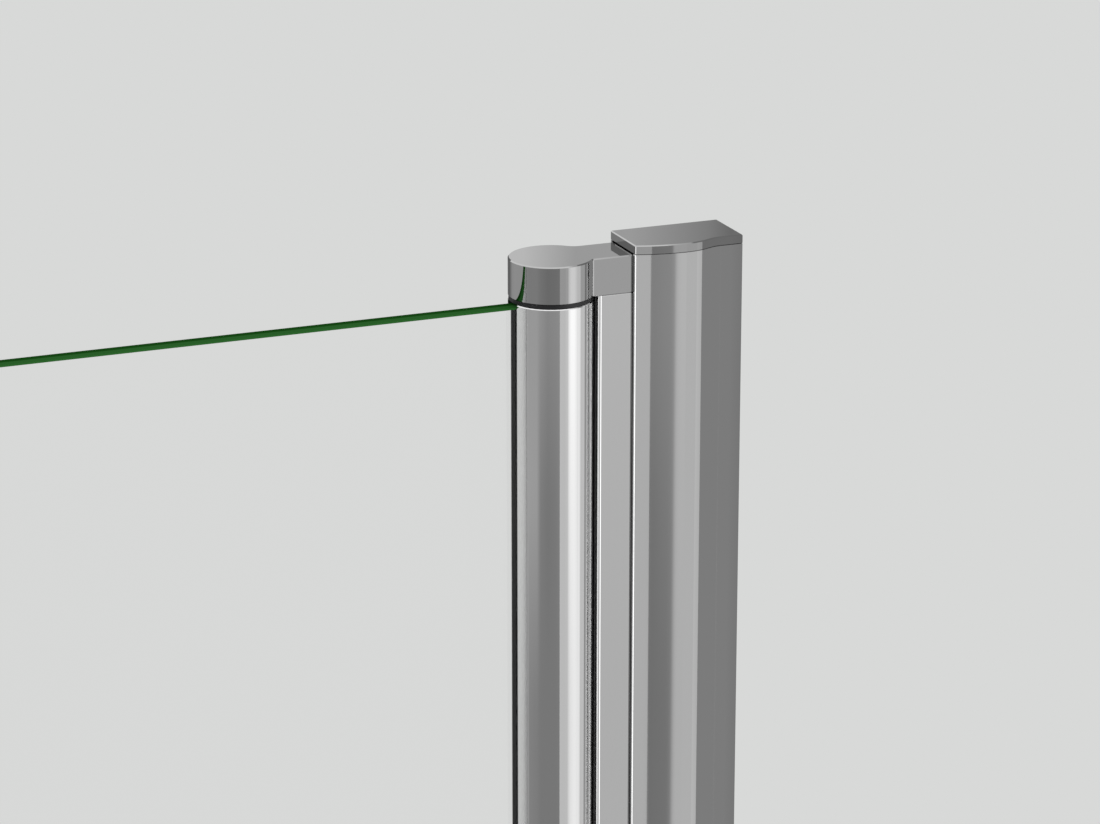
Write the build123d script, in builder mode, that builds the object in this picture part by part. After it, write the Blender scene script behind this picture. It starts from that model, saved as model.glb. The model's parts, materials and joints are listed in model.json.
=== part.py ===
from build123d import *
from math import sqrt
import os

# Pivot shower door for a niche, closed, in millimetres.
# X runs along the door towards the hinge side, -Y is the outside, +Z is up.
# The origin is on the tray, in the middle of the niche and of the door's depth.

# The whole door
niche_width = 900.0
door_height = 1920.0
arm_reach = 10.0

# Side channel, an extrusion with a curved front
channel_projection = 34.0
channel_wall = 1.3
channel_web = 2.0
bulge = 2.9
crown_station = 19.0
crown_radius = 18.0
cove_radius = 8.0
mouth_rounding = 0.4
guide_rib = 1.2
wall_hole_radius = 3.0
wall_hole_pitch = 570.0

# Adjusting profile, a smaller channel that slides in the first
slide_half_depth = 7.6
slide_clearance = 0.3
slide_engagement = 21.5
flange_wall = 1.4
end_bevel = 0.2
nose_web = 2.0
nose_depth = 2.3
nose_relief = 0.75
nose_rounding = 0.3
groove_inset = 0.8
groove_width = 0.5
groove_depth = 0.35
port_wall = 1.1
port_inset = 3.5

# Caps
cap_plate = 2.8
cap_edge = 0.3
cap_reveal = 0.25
cap_play = 0.3
cap_plug_depth = 8.0
cap_plug_wall = 1.5
nose_cap_plate = 2.5

# Hinge tube, an extrusion with a pocket for the glass and a hollow for the bushes
tube_radius = 12.5
tube_wall = 1.8
pocket_bottom = 5.6
pocket_wall = 1.2
lip_wall = 1.1
tube_edge = 0.3
slot_gap = 0.6
fit = 0.05

# Glass and its packing
glass_thickness = 6.0
glass_drop = 1.0
glass_arris = 0.4
glass_corner = 4.0
gasket_thickness = 1.35
seat_strip = 0.9

# Pivots
head_height = 11.3
head_edge = 0.35
seat_reveal = 0.25
back_blend = 5.0
front_blend = 0.8
arm_tail = 8.0
tongue_depth = 14.0
tongue_play = 0.15
ground_clearance = 9.0
washer_thickness = 1.15
washer_step = 0.2
pin_radius = 3.0
pin_seat = 8.5
pin_bearing = 16.0
pin_chamfer = 0.6
bush_length = 20.0
running_clearance = 0.05
axial_play = 0.1
seal_gap = 0.3

# Seals, magnets and the sill
seal_wall = 1.2
seal_grip = 9.0
seal_rounding = 1.0
magnet_width = 7.6
magnet_depth = 5.8
door_seal_head = 9.0
strike_seal_head = 7.5
closing_gap = 0.6
drip_grip = 10.0
drip_fin = 1.2
drip_end_gap = 0.7
deflector_reach = 5.2
deflector_drop = 5.5
deflector_wall = 1.0
sill_width = 11.0
sill_height = 6.5
sill_edge = 1.5
sill_wall = 1.2
sill_shift = 1.5
sill_clearance = 0.5

# Pull handles
handle_height = 1000.0
handle_inset = 60.0
handle_centres = 200.0
handle_standoff = 40.0
handle_bar_radius = 6.5
handle_bend = 18.0
foot_radius = 11.0
foot_height = 5.0
foot_taper = 4.5
foot_washer = 1.0
stud_radius = 3.0
stud_bite = 9.0
sleeve_wall = 1.8
grub_radius = 1.9
grub_length = 6.0

# Screws
screw_radius = 1.7
countersunk_head = 3.1
arm_screw_grip = 16.0
screw_point = 2.0
pan_head_radius = 3.3
pan_head_height = 2.2
pan_head_rim = 0.8
pan_head_flat = 2.1
clamp_screw_length = 9.0
clamp_station = 24.0
clamp_pitch = 660.0
cover_radius = 5.0
cover_wall = 0.9
cover_edge = 0.7
cover_play = 0.3

# Places that follow from the sizes above
half_niche = niche_width / 2
axis_x = half_niche - channel_projection - arm_reach - tube_radius
slide_half_opening = slide_half_depth + slide_clearance
channel_half_depth = slide_half_opening + channel_wall
channel_top = door_height - cap_plate
arm_top = channel_top - cap_play
top_seat = arm_top - head_height
bottom_seat = ground_clearance + head_height
tube_top = top_seat - washer_thickness - axial_play
tube_bottom = bottom_seat + washer_thickness + axial_play
half_glass = glass_thickness / 2
glass_top = tube_top - glass_drop
glass_bottom = tube_bottom + glass_drop
glass_seat = pocket_bottom + seat_strip + 2 * fit
flange_inner = slide_half_depth - flange_wall
nose_reach = sqrt((tube_radius + nose_relief) ** 2 - flange_inner**2)
nose_station = half_niche - axis_x - nose_reach
nose_seat = nose_station - nose_depth
nose_back = nose_seat - nose_web
tail_station = channel_projection - slide_engagement
port_station = channel_projection - port_inset
port_radius = screw_radius + fit
port_depth = flange_inner - port_radius - port_wall / 2
port_reach = half_niche - port_station - axis_x
cavity_radius = tube_radius - tube_wall
pocket_half = half_glass + gasket_thickness + fit
housing_half = pocket_half + pocket_wall
slot_half = half_glass + slot_gap
lip_inner = sqrt(tube_radius**2 - pocket_half**2) - lip_wall
strike_face = nose_station + strike_seal_head
strike_pocket = strike_face - seal_wall
door_edge = strike_face + closing_gap - half_niche
door_chamber = door_edge + seal_wall
glass_edge = door_edge + door_seal_head
magnet_half = magnet_width / 2
seal_half = magnet_half + seal_wall
clip_half = half_glass + fit + seal_wall
door_seal_bottom = glass_bottom + drip_grip + sill_clearance
side_profile_bottom = sill_height + sill_clearance
strike_profile_top = arm_top - nose_cap_plate
nose_cap_start = channel_projection + cap_play
handle_x = glass_edge + handle_inset
wall_hole_heights = [channel_top / 2 + wall_hole_pitch * step for step in (-1.5, -0.5, 0.5, 1.5)]
clamp_heights = [door_height / 2 + clamp_pitch * step for step in (-1, 0, 1)]
handle_feet = [handle_height - handle_centres / 2, handle_height + handle_centres / 2]
os.makedirs("parts", exist_ok=True)


def save(name, shape):
    """Labels a finished piece and writes it under its own name."""
    shape.label = name
    export_step(shape, f"parts/{name}.step")


def station(side, distance):
    """The X of a point at that distance inwards from one side of the niche."""
    return side * (half_niche - distance)


def strip(side, near, far, low, high, mode=Mode.ADD):
    """Adds or cuts a rectangle between two distances from a side of the niche and two depths."""
    with Locations((station(side, (near + far) / 2), (low + high) / 2)):
        Rectangle(abs(far - near), high - low, mode=mode)


def block(left, right, low, high, mode=Mode.ADD):
    """Adds or cuts a rectangle given by its left, right, low and high edges."""
    with Locations(((left + right) / 2, (low + high) / 2)):
        Rectangle(right - left, high - low, mode=mode)


# Side channels: their front is a flat arc, a tighter crown and a cove that runs out at the back

def channel_outline(side):
    """The side channel's filled outline, with its back on the side of the niche."""
    front = -channel_half_depth
    crown = front - bulge
    mouth_run = channel_projection - crown_station
    mouth_radius = (mouth_run**2 + bulge**2) / (2 * bulge)
    mouth_middle = crown + mouth_radius - sqrt(mouth_radius**2 - (mouth_run / 2) ** 2)
    blend = crown_radius + cove_radius
    cove_run = sqrt(bulge * (2 * blend - bulge))
    crown_run = cove_run * crown_radius / blend
    turn_depth = crown + crown_radius - (blend - bulge) * crown_radius / blend
    crown_middle = crown + crown_radius - sqrt(crown_radius**2 - (crown_run / 2) ** 2)
    cove_half = (cove_run - crown_run) / 2
    cove_middle = front - cove_radius + sqrt(cove_radius**2 - cove_half**2)

    def at(distance, depth):
        return (station(side, distance), depth)

    with BuildSketch() as outline:
        with BuildLine():
            Polyline(
                at(crown_station - cove_run, front),
                at(0, front),
                at(0, channel_half_depth),
                at(channel_projection, channel_half_depth),
                at(channel_projection, front),
            )
            ThreePointArc(
                at(channel_projection, front),
                at(crown_station + mouth_run / 2, mouth_middle),
                at(crown_station, crown),
            )
            ThreePointArc(
                at(crown_station, crown),
                at(crown_station - crown_run / 2, crown_middle),
                at(crown_station - crown_run, turn_depth),
            )
            ThreePointArc(
                at(crown_station - crown_run, turn_depth),
                at(crown_station - cove_run + cove_half, cove_middle),
                at(crown_station - cove_run, front),
            )
        make_face()
        mouth_corners = outline.vertices().sort_by(lambda corner: side * corner.X)[:2]
        fillet(mouth_corners, mouth_rounding)
    return outline.sketch


def wall_profile(side):
    """The channel on one side, open towards the door, with holes for fixing and clamp screws."""
    outline = channel_outline(side)
    with BuildPart() as profile:
        with BuildSketch():
            add(outline)
            offset(outline, amount=-channel_wall, mode=Mode.SUBTRACT)
            strip(
                side,
                crown_station - guide_rib / 2,
                crown_station + guide_rib / 2,
                -channel_half_depth - bulge + channel_wall / 2,
                -slide_half_opening,
            )
            strip(side, 0, channel_web, -channel_half_depth, channel_half_depth)
            strip(
                side,
                channel_web,
                channel_projection + channel_wall,
                -slide_half_opening,
                slide_half_opening,
                mode=Mode.SUBTRACT,
            )
        extrude(amount=channel_top)
        with BuildSketch(Plane.YZ.offset(station(side, 0))):
            with Locations(*[(0, height) for height in wall_hole_heights]):
                Circle(wall_hole_radius)
        extrude(amount=-side * channel_web, mode=Mode.SUBTRACT)
        with BuildSketch(Plane.XZ.offset(-channel_half_depth)):
            with Locations(*[(station(side, clamp_station), height) for height in clamp_heights]):
                Circle(port_radius)
        extrude(amount=channel_wall, mode=Mode.SUBTRACT)
    return profile.part


def adjusting_profile(side, bottom, top):
    """The inner channel: two flanges, a nose that carries a seal, and two ports for screws."""
    with BuildPart() as profile:
        with BuildSketch(Plane.XY.offset(bottom)) as section:
            strip(side, tail_station, nose_station, -slide_half_depth, slide_half_depth)
            tips = section.vertices().sort_by(lambda corner: side * corner.X)[:2]
            fillet(tips, nose_rounding)
            strip(side, tail_station, nose_back, -flange_inner, flange_inner, mode=Mode.SUBTRACT)
            strip(side, nose_seat, nose_station, -flange_inner, flange_inner, mode=Mode.SUBTRACT)
            groove = nose_station - groove_inset
            for face in (-1, 1):
                with Locations((station(side, groove), face * slide_half_depth)):
                    Rectangle(groove_width, 2 * groove_depth, mode=Mode.SUBTRACT)
                with Locations((station(side, port_station), face * port_depth)):
                    Circle(port_radius + port_wall)
            for face in (-1, 1):
                with Locations((station(side, port_station), face * port_depth)):
                    Circle(port_radius, mode=Mode.SUBTRACT)
        extrude(amount=top - bottom)
        long_edges = profile.faces().filter_by(Axis.Z).edges().filter_by(Axis.X)
        outer_edges = long_edges.filter_by(lambda edge: abs(edge.center().Y) > slide_half_depth - fit)
        chamfer(outer_edges, end_bevel)
        with BuildSketch(Plane.XZ.offset(-slide_half_depth)):
            with Locations(*[(station(side, clamp_station), height) for height in clamp_heights]):
                Circle(port_radius)
        extrude(amount=flange_wall, mode=Mode.SUBTRACT)
    return profile.part


def profile_cap(side):
    """A cast plate flush with the side channel, with a hollow plug that grips inside it."""
    outline = channel_outline(side)
    half_plug = slide_half_opening - fit
    near = channel_web + fit
    far = tail_station - cap_play
    with BuildPart() as cap:
        with BuildSketch(Plane.XY.offset(channel_top)):
            add(outline)
        extrude(amount=cap_plate)
        chamfer(cap.faces().sort_by(Axis.Z)[-1].edges(), cap_edge)
        chamfer(cap.faces().sort_by(Axis.Z)[0].edges(), cap_reveal)
        with BuildSketch(Plane.XY.offset(channel_top)):
            strip(side, near, far, -half_plug, half_plug)
            strip(
                side,
                near + cap_plug_wall,
                far - cap_plug_wall,
                cap_plug_wall - half_plug,
                half_plug - cap_plug_wall,
                mode=Mode.SUBTRACT,
            )
        extrude(amount=-cap_plug_depth)
    return cap.part


for side, name in ((1, "hinge"), (-1, "strike")):
    save(f"{name}_wall_profile", wall_profile(side))
    save(f"{name}_profile_cap", profile_cap(side))

save("hinge_adjusting_profile", adjusting_profile(1, bottom_seat, top_seat))
save("strike_adjusting_profile", adjusting_profile(-1, side_profile_bottom, strike_profile_top))


# Strike nose cap, which closes the strike profile's end in front of the channel

with BuildPart() as strike_nose_cap:
    with BuildSketch(Plane.XY.offset(strike_profile_top)) as nose_plate:
        strip(-1, nose_cap_start, nose_station, -slide_half_depth, slide_half_depth)
        fillet(nose_plate.vertices().sort_by(Axis.X)[-2:], nose_rounding)
    extrude(amount=nose_cap_plate)
    chamfer(strike_nose_cap.faces().sort_by(Axis.Z)[-1].edges(), cap_edge)
    with BuildSketch(Plane.XY.offset(strike_profile_top)):
        strip(-1, nose_cap_start, nose_back - fit, fit - flange_inner, flange_inner - fit)
    extrude(amount=-cap_plug_depth)
save("strike_nose_cap", strike_nose_cap.part)


# Pivot arms: a round head over the tube's end, and a tail screwed on the adjusting profile's end

def pivot_arm(seat, up):
    """One arm, with its seat at that height and its head above (1) or below (-1) it."""
    base = Plane(origin=(axis_x, 0, seat), x_dir=(1, 0, 0), z_dir=(0, 0, up))
    face = Plane(origin=(axis_x, 0, seat + up * head_height), x_dir=(1, 0, 0), z_dir=(0, 0, up))
    corner = sqrt(tube_radius**2 - slide_half_depth**2)
    tail = port_reach + arm_tail
    tongue_half = port_depth - port_radius - port_wall - tongue_play
    tongue_start = half_niche - axis_x - nose_back + tongue_play
    with BuildPart() as arm:
        with BuildSketch(base) as outline:
            Circle(tube_radius)
            block(0, tail, -slide_half_depth, slide_half_depth)
            back = outline.vertices().sort_by_distance((corner, up * slide_half_depth))[0]
            fillet(back, back_blend)
            front = outline.vertices().sort_by_distance((corner, -up * slide_half_depth))[0]
            fillet(front, front_blend)
        extrude(amount=head_height)
        chamfer(arm.faces().sort_by(Axis.Z)[::up][-1].edges(), head_edge)
        chamfer(arm.faces().sort_by(Axis.Z)[::up][0].edges(), seat_reveal)
        with BuildSketch(base):
            block(tongue_start, tail, -tongue_half, tongue_half)
        extrude(amount=-tongue_depth)
        with BuildSketch(base):
            Circle(pin_radius)
        extrude(amount=pin_seat, mode=Mode.SUBTRACT)
        with Locations(face):
            with Locations((port_reach, port_depth), (port_reach, -port_depth)):
                CounterSinkHole(port_radius, countersunk_head, depth=head_height)
    return arm.part


def pivot_pin(seat, up):
    """A steel pin, pressed in the head, that runs in the tube's bush."""
    reach = washer_thickness + axial_play + pin_bearing
    with BuildPart() as pin:
        with BuildSketch(Plane.XY.offset(seat + up * pin_seat)):
            with Locations((axis_x, 0)):
                Circle(pin_radius)
        extrude(amount=-up * (pin_seat + reach))
        chamfer(pin.edges().group_by(Axis.Z)[0 if up > 0 else -1], pin_chamfer)
    return pin.part


def thrust_washer(seat, up):
    """The black plastic ring between the head and the tube's end."""
    with BuildPart() as washer:
        with BuildSketch(Plane.XY.offset(seat)):
            with Locations((axis_x, 0)):
                Circle(tube_radius - washer_step)
                Circle(pin_radius + fit, mode=Mode.SUBTRACT)
        extrude(amount=-up * washer_thickness)
    return washer.part


def pivot_bush(end, up):
    """The moulded bush that fills the tube's hollow at one end and holds the pin."""
    with BuildPart() as bush:
        with BuildSketch(Plane.XY.offset(end)):
            with Locations((axis_x, 0)):
                Circle(cavity_radius - fit)
                Circle(pin_radius + running_clearance, mode=Mode.SUBTRACT)
            block(
                axis_x - tube_radius,
                axis_x - pocket_bottom + pocket_wall + fit,
                -housing_half - fit,
                housing_half + fit,
                mode=Mode.SUBTRACT,
            )
        extrude(amount=-up * bush_length)
    return bush.part


for name, seat, end, up in (("top", top_seat, tube_top, 1), ("bottom", bottom_seat, tube_bottom, -1)):
    save(f"{name}_pivot_arm", pivot_arm(seat, up))
    save(f"{name}_pivot_pin", pivot_pin(seat, up))
    save(f"{name}_thrust_washer", thrust_washer(seat, up))
    save(f"{name}_pivot_bush", pivot_bush(end, up))


# Hinge tube: a round wall, a walled pocket for the glass, and lips that cover the gaskets

with BuildPart() as hinge_tube:
    housing_start = sqrt((tube_radius - tube_wall / 2) ** 2 - housing_half**2)
    with BuildSketch(Plane.XY.offset(tube_bottom)):
        with Locations((axis_x, 0)):
            Circle(tube_radius)
            Circle(cavity_radius, mode=Mode.SUBTRACT)
        block(axis_x - housing_start, axis_x - pocket_bottom + pocket_wall, -housing_half, housing_half)
        block(axis_x - lip_inner, axis_x - pocket_bottom, -pocket_half, pocket_half, mode=Mode.SUBTRACT)
        block(axis_x - tube_radius, axis_x - pocket_bottom, -slot_half, slot_half, mode=Mode.SUBTRACT)
    extrude(amount=tube_top - tube_bottom)
    arcs = hinge_tube.edges().filter_by(GeomType.CIRCLE)
    chamfer(arcs.filter_by(lambda arc: abs(arc.radius - tube_radius) < fit), tube_edge)
save("hinge_tube", hinge_tube.part)


# Glass pane, its edges ground, its free corners rounded, with two holes for the pull handles

with BuildPart() as glass_pane:
    with BuildSketch(Plane.XZ) as pane:
        block(glass_edge, axis_x - glass_seat, glass_bottom, glass_top)
        fillet(pane.vertices().sort_by(Axis.X)[:2], glass_corner)
    extrude(amount=half_glass, both=True)
    chamfer(glass_pane.faces().filter_by(Axis.Y).edges(), glass_arris)
    with BuildSketch(Plane.XZ):
        with Locations(*[(handle_x, height) for height in handle_feet]):
            Circle(stud_radius + sleeve_wall + 2 * fit)
    extrude(amount=half_glass, both=True, mode=Mode.SUBTRACT)
save("glass_pane", glass_pane.part)


# Gaskets each side of the glass, with a lip in the tube's slot, and the strip behind its edge

def glass_gasket(face):
    """The gasket on the outer (-1) or inner (1) face of the glass."""
    body = sorted((face * half_glass, face * (half_glass + gasket_thickness)))
    lip = sorted((face * half_glass, face * (slot_half - fit)))
    mouth = sqrt(tube_radius**2 - slot_half**2)
    with BuildPart() as gasket:
        with BuildSketch(Plane.XY.offset(glass_bottom)):
            block(axis_x - lip_inner, axis_x - pocket_bottom - fit, *body)
            block(axis_x - mouth, axis_x - lip_inner, *lip)
        extrude(amount=glass_top - glass_bottom)
    return gasket.part


save("outer_glass_gasket", glass_gasket(-1))
save("inner_glass_gasket", glass_gasket(1))

with BuildPart() as glass_seat_strip:
    pocket_face = axis_x - pocket_bottom - fit
    with BuildSketch(Plane.XY.offset(glass_bottom)):
        block(pocket_face - seat_strip, pocket_face, -half_glass, half_glass)
    extrude(amount=glass_top - glass_bottom)
save("glass_seat_strip", glass_seat_strip.part)


# Gap seal on the hinge-side nose, hollowed to the tube's radius

with BuildPart() as hinge_gap_seal:
    with BuildSketch(Plane.XY.offset(bottom_seat)):
        strip(1, nose_seat, nose_station, -flange_inner, flange_inner)
        with Locations((axis_x, 0)):
            Circle(tube_radius + seal_gap, mode=Mode.SUBTRACT)
    extrude(amount=top_seat - bottom_seat)
save("hinge_gap_seal", hinge_gap_seal.part)


# Magnet seals: a clip on the glass edge, and a strip in the strike-side nose

with BuildPart() as door_magnet_seal:
    with BuildSketch(Plane.XY.offset(door_seal_bottom)) as clip:
        block(door_edge, glass_edge, -seal_half, seal_half)
        fillet(clip.vertices(), seal_rounding)
        block(glass_edge - seal_wall, glass_edge + seal_grip, -clip_half, clip_half)
        block(
            glass_edge - fit,
            glass_edge + seal_grip,
            -half_glass - fit,
            half_glass + fit,
            mode=Mode.SUBTRACT,
        )
        block(
            door_chamber - fit,
            door_chamber + magnet_depth + fit,
            -magnet_half - fit,
            magnet_half + fit,
            mode=Mode.SUBTRACT,
        )
    extrude(amount=glass_top - door_seal_bottom)
save("door_magnet_seal", door_magnet_seal.part)

with BuildPart() as door_magnet:
    with BuildSketch(Plane.XY.offset(door_seal_bottom)):
        block(door_chamber, door_chamber + magnet_depth, -magnet_half, magnet_half)
    extrude(amount=glass_top - door_seal_bottom)
save("door_magnet", door_magnet.part)

with BuildPart() as strike_magnet_seal:
    with BuildSketch(Plane.XY.offset(side_profile_bottom)) as nose_strip:
        strip(-1, nose_station - seal_rounding, strike_face, -seal_half, seal_half)
        fillet(nose_strip.vertices(), seal_rounding)
        strip(-1, nose_seat, nose_station, -flange_inner, flange_inner)
        strip(
            -1,
            strike_pocket - magnet_depth - fit,
            strike_pocket + fit,
            -magnet_half - fit,
            magnet_half + fit,
            mode=Mode.SUBTRACT,
        )
    extrude(amount=strike_profile_top - side_profile_bottom)
save("strike_magnet_seal", strike_magnet_seal.part)

with BuildPart() as strike_magnet:
    with BuildSketch(Plane.XY.offset(side_profile_bottom)):
        strip(-1, strike_pocket - magnet_depth, strike_pocket, -magnet_half, magnet_half)
    extrude(amount=strike_profile_top - side_profile_bottom)
save("strike_magnet", strike_magnet.part)


# Drip seal: a clip under the glass, a fin over the sill and a lip that throws water inwards

with BuildPart() as drip_seal:
    drip_end = axis_x - tube_radius - drip_end_gap
    clip_bottom = glass_bottom - fit - seal_wall
    tip_depth = clip_half + deflector_reach
    tip_height = clip_bottom - deflector_drop
    with BuildSketch(Plane.YZ.offset(glass_edge)):
        block(-clip_half, clip_half, clip_bottom, glass_bottom + drip_grip)
        block(
            -half_glass - fit,
            half_glass + fit,
            glass_bottom - fit,
            glass_bottom + drip_grip,
            mode=Mode.SUBTRACT,
        )
        block(-drip_fin / 2, drip_fin / 2, sill_height + sill_clearance, clip_bottom)
        with BuildLine():
            Polyline(
                (clip_half - seal_wall, clip_bottom),
                (clip_half, clip_bottom + deflector_wall),
                (tip_depth, tip_height),
                (tip_depth - deflector_wall, tip_height),
                close=True,
            )
        make_face()
    extrude(amount=drip_end - glass_edge)
save("drip_seal", drip_seal.part)


# Sill strip, a low hollow arch on the tray between the side channels

with BuildPart() as sill_strip:
    sill_half = sill_width / 2
    sill_end = half_niche - channel_projection - cap_play
    with BuildSketch(Plane.YZ.offset(-sill_end)) as arch:
        with BuildLine():
            Polyline(
                (sill_shift - sill_half, sill_edge),
                (sill_shift - sill_half, 0),
                (sill_shift + sill_half, 0),
                (sill_shift + sill_half, sill_edge),
            )
            ThreePointArc(
                (sill_shift + sill_half, sill_edge),
                (sill_shift, sill_height),
                (sill_shift - sill_half, sill_edge),
            )
        make_face()
        offset(amount=-sill_wall, mode=Mode.SUBTRACT)
    extrude(amount=2 * sill_end)
save("sill_strip", sill_strip.part)


# Pull handles: a bent bar on two tapered feet, through-bolted to its twin across the glass

def grub_plane(height):
    """The plane under a foot where its grub screw enters, facing down."""
    depth = half_glass + foot_washer + foot_height / 2
    return Plane(origin=(handle_x, depth, height - foot_radius), x_dir=(1, 0, 0), z_dir=(0, 0, -1))


def pull_handle(face):
    """The handle on the outer (-1) or inner (1) face of the glass."""
    foot = half_glass + foot_washer
    bar = face * (foot + handle_standoff)
    low, high = handle_feet
    taper_start = foot + foot_height
    taper_end = taper_start + foot_taper
    foot_plane = Plane(origin=(handle_x, face * foot, handle_height), x_dir=(0, 0, 1), z_dir=(0, face, 0))
    with BuildPart() as handle:
        with BuildLine(Plane.YZ.offset(handle_x)):
            corners = [(face * foot, low), (bar, low), (bar, high), (face * foot, high)]
            FilletPolyline(*corners, radius=handle_bend)
        with BuildSketch(Plane(origin=(handle_x, face * foot, low), z_dir=(0, face, 0))):
            Circle(handle_bar_radius)
        sweep()
        for height in handle_feet:
            with BuildSketch(Plane.YZ.offset(handle_x)):
                with BuildLine():
                    Polyline(
                        (face * taper_end, height + handle_bar_radius),
                        (face * taper_end, height),
                        (face * foot, height),
                        (face * foot, height + foot_radius),
                        (face * taper_start, height + foot_radius),
                    )
                    Line(
                        (face * taper_start, height + foot_radius),
                        (face * taper_end, height + handle_bar_radius),
                    )
                make_face()
            revolve(axis=Axis((handle_x, 0, height), (0, 1, 0)))
        with BuildSketch(foot_plane):
            with Locations((-handle_centres / 2, 0), (handle_centres / 2, 0)):
                Circle(stud_radius + fit)
        extrude(amount=stud_bite, mode=Mode.SUBTRACT)
        if face > 0:
            with Locations(*[grub_plane(height) for height in handle_feet]):
                Hole(grub_radius + fit, depth=foot_radius)
    return handle.part


save("outer_pull_handle", pull_handle(-1))
save("inner_pull_handle", pull_handle(1))

with BuildPart() as handle_studs:
    with BuildSketch(Plane.XZ):
        with Locations(*[(handle_x, height) for height in handle_feet]):
            Circle(stud_radius)
    extrude(amount=half_glass + foot_washer + stud_bite - fit, both=True)
save("handle_studs", handle_studs.part)

with BuildPart() as handle_sleeves:
    with BuildSketch(Plane.XZ):
        with Locations(*[(handle_x, height) for height in handle_feet]):
            Circle(stud_radius + sleeve_wall)
            Circle(stud_radius + fit, mode=Mode.SUBTRACT)
    extrude(amount=half_glass, both=True)
save("handle_sleeves", handle_sleeves.part)

with BuildPart() as handle_washers:
    for face in (-1, 1):
        with BuildSketch(Plane.XZ.offset(-face * half_glass)):
            with Locations(*[(handle_x, height) for height in handle_feet]):
                Circle(foot_radius)
                Circle(stud_radius + fit, mode=Mode.SUBTRACT)
        extrude(amount=-face * foot_washer)
save("handle_washers", handle_washers.part)

with BuildPart() as handle_grub_screws:
    for height in handle_feet:
        with BuildSketch(grub_plane(height).offset(stud_radius + 2 * fit - foot_radius)):
            Circle(grub_radius)
        extrude(amount=grub_length)
save("handle_grub_screws", handle_grub_screws.part)


# Screws: countersunk ones hold the arms, pan head ones clamp the adjusting profiles

with BuildPart() as arm_screw:
    screw_end = head_height + arm_screw_grip
    with BuildSketch(Plane.XZ):
        with BuildLine():
            Polyline(
                (0, 0),
                (countersunk_head, 0),
                (screw_radius, screw_radius - countersunk_head),
                (screw_radius, screw_point - screw_end),
                (0, -screw_end),
                close=True,
            )
        make_face()
    revolve(axis=Axis.Z)

with BuildPart() as pivot_arm_screws:
    for level, up in ((arm_top, 1), (ground_clearance, -1)):
        with Locations(Plane(origin=(axis_x + port_reach, 0, level), x_dir=(1, 0, 0), z_dir=(0, 0, up))):
            with Locations((0, port_depth), (0, -port_depth)):
                add(arm_screw.part)
save("pivot_arm_screws", pivot_arm_screws.part)

with BuildPart() as clamp_screw:
    with BuildSketch(Plane.XZ):
        with BuildLine():
            Polyline(
                (0, pan_head_height),
                (0, -clamp_screw_length),
                (screw_radius, screw_point - clamp_screw_length),
                (screw_radius, 0),
                (pan_head_radius, 0),
                (pan_head_radius, pan_head_rim),
                (pan_head_flat, pan_head_height),
                close=True,
            )
        make_face()
    revolve(axis=Axis.Z)

with BuildPart() as screw_cover:
    cover_height = pan_head_height + cover_play + cover_wall
    with BuildSketch():
        Circle(cover_radius)
    extrude(amount=cover_height)
    chamfer(screw_cover.faces().sort_by(Axis.Z)[-1].edges(), cover_edge)
    with BuildSketch():
        Circle(cover_radius - cover_wall)
    extrude(amount=cover_height - cover_wall, mode=Mode.SUBTRACT)

clamp_planes = [
    Plane(origin=(station(side, clamp_station), channel_half_depth, height), z_dir=(0, 1, 0))
    for side in (-1, 1)
    for height in clamp_heights
]

with BuildPart() as profile_clamp_screws:
    with Locations(*clamp_planes):
        add(clamp_screw.part)
save("profile_clamp_screws", profile_clamp_screws.part)

with BuildPart() as screw_cover_caps:
    with Locations(*clamp_planes):
        add(screw_cover.part)
save("screw_cover_caps", screw_cover_caps.part)
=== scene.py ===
import json
import math

import bmesh
import bpy
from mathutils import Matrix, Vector

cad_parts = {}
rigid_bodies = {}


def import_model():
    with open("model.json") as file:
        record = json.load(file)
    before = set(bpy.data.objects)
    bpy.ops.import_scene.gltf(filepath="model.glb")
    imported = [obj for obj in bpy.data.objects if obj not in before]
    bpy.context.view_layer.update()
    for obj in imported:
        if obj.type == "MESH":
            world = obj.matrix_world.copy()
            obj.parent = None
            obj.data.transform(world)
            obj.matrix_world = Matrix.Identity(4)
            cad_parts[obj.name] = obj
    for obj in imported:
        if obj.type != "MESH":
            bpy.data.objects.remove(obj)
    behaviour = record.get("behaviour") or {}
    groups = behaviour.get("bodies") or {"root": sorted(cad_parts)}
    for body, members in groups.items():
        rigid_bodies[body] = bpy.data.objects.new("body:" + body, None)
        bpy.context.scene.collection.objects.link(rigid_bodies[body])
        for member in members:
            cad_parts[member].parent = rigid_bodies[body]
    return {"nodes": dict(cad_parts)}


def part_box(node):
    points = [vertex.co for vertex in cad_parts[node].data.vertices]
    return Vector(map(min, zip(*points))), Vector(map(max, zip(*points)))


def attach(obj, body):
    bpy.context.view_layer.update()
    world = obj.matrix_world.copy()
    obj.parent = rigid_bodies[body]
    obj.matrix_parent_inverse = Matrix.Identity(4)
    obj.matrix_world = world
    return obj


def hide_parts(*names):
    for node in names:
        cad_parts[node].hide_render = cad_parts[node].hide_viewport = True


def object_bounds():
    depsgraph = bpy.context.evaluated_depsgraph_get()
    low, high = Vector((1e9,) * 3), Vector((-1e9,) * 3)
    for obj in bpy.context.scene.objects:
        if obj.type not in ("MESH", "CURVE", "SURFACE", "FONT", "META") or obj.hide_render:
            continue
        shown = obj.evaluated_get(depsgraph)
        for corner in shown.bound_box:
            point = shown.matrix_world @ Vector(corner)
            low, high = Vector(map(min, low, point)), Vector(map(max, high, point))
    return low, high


bl_info = {
    "name": "Pivot shower door",
    "version": (1, 0, 0),
    "blender": (4, 5, 0),
    "location": "View3D > Sidebar > Shower door",
    "description": "Finishes a pivot shower door for a niche and lights it in a small studio",
    "category": "Object",
}

for leftover in list(bpy.data.objects):
    bpy.data.objects.remove(leftover)
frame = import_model()
cad_low, cad_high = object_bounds()
mm = 0.001

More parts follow.
